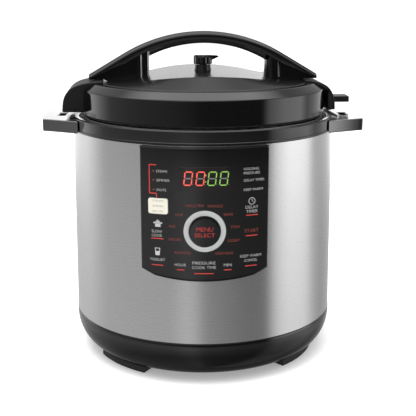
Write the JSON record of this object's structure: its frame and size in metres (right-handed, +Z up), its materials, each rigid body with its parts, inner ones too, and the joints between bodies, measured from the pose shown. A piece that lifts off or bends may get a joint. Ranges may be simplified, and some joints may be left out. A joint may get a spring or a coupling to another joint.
{
  "type": "electric pressure cooker",
  "caption": "Large electric pressure cooker: steel-clad base with curved control panel, removable inner pot and bayonet lid with an arched handle, pressure valve and float valve.",
  "frame": {"origin": "centre of the footprint, at the undersides of the feet", "axes": "+Z up, -Y towards the control panel, X along the two side handles; metres"},
  "size_m": [0.394, 0.3293, 0.3951],
  "materials": {
    "gloss_black": "gloss",
    "satin_black": "satin",
    "brushed_shell": "satin",
    "pot_steel": "satin",
    "cast_aluminium": "satin",
    "nonstick": "satin",
    "silicone": "matte",
    "foot_rubber": "matte",
    "fascia_film": "gloss",
    "display_tint": "gloss",
    "silver_trim": "satin",
    "cream_key": "satin",
    "board": "matte",
    "brass_parts": "satin",
    "float_red": "satin"
  },
  "bodies": {
    "base": {"outer_shell": "brushed_shell", "base_shell": "gloss_black", "bottom_cover": "satin_black", "foot_1": "foot_rubber", "foot_2": "foot_rubber", "foot_3": "foot_rubber", "foot_4": "foot_rubber", "collar_ring": "gloss_black", "side_handle_right": "gloss_black", "side_handle_left": "gloss_black", "outer_pot": "cast_aluminium", "heating_plate": "cast_aluminium", "inlet_socket": "satin_black", "inlet_pin_1": "brass_parts", "inlet_pin_2": "brass_parts", "inlet_pin_3": "brass_parts", "power_board": "board", "control_board": "board", "panel_fascia": "fascia_film", "display_lens": "display_tint", "menu_ring": "silver_trim"},
    "pot": {"inner_pot": "nonstick"},
    "seal": {"sealing_ring": "silicone"},
    "lid": {"lid_ring": "gloss_black", "lid_crown": "gloss_black", "lid_wing_left": "gloss_black", "lid_wing_right": "gloss_black", "parking_tab": "satin_black", "handle_shell": "gloss_black", "handle_grip": "satin_black", "steel_lid": "pot_steel", "seal_rack": "pot_steel", "exhaust_pipe": "brass_parts", "pipe_shield": "pot_steel"},
    "valve": {"pressure_valve": "satin_black"},
    "float": {"float_valve": "float_red"},
    "mode_button": {"mode_key": "cream_key"},
    "menu_button": {"menu_key": "fascia_film"},
    "sensor": {"temperature_sensor": "cast_aluminium"}
  },
  "joints": [
    {"name": "lid_lift", "type": "slide", "parent": "base", "child": "seal", "axis": [0, 0, 1], "range_m": [0, 0.3]},
    {"name": "lid_turn", "type": "hinge", "parent": "seal", "child": "lid", "pos_m": [0, 0, 0.3], "axis": [0, 0, 1], "range_deg": [0, 30]},
    {"name": "pot_lift", "type": "slide", "parent": "base", "child": "pot", "axis": [0, 0, 1], "range_m": [0, 0.15]},
    {"name": "valve_turn", "type": "hinge", "parent": "lid", "child": "valve", "pos_m": [0, 0, 0.36], "axis": [0, 0, 1], "range_deg": [0, 60]},
    {"name": "float_rise", "type": "slide", "parent": "lid", "child": "float", "axis": [0, 0, 1], "range_m": [0, 0.0035]},
    {"name": "mode_key_press", "type": "slide", "parent": "base", "child": "mode_button", "axis": [0.3123, 0.95, 0], "range_m": [0, 0.0012], "stiffness_N_per_m": 1500, "springref_m": -0.0004},
    {"name": "menu_key_press", "type": "slide", "parent": "base", "child": "menu_button", "axis": [0, 1, 0], "range_m": [0, 0.0012], "stiffness_N_per_m": 1500, "springref_m": -0.0004},
    {"name": "sensor_press", "type": "slide", "parent": "base", "child": "sensor", "axis": [0, 0, 1], "range_m": [-0.003, 0], "stiffness_N_per_m": 800, "springref_m": 0.001}
  ],
  "couplings": [
    {"joint": "pot_lift", "follows": "lid_lift", "ratio": 0.5}
  ]
}
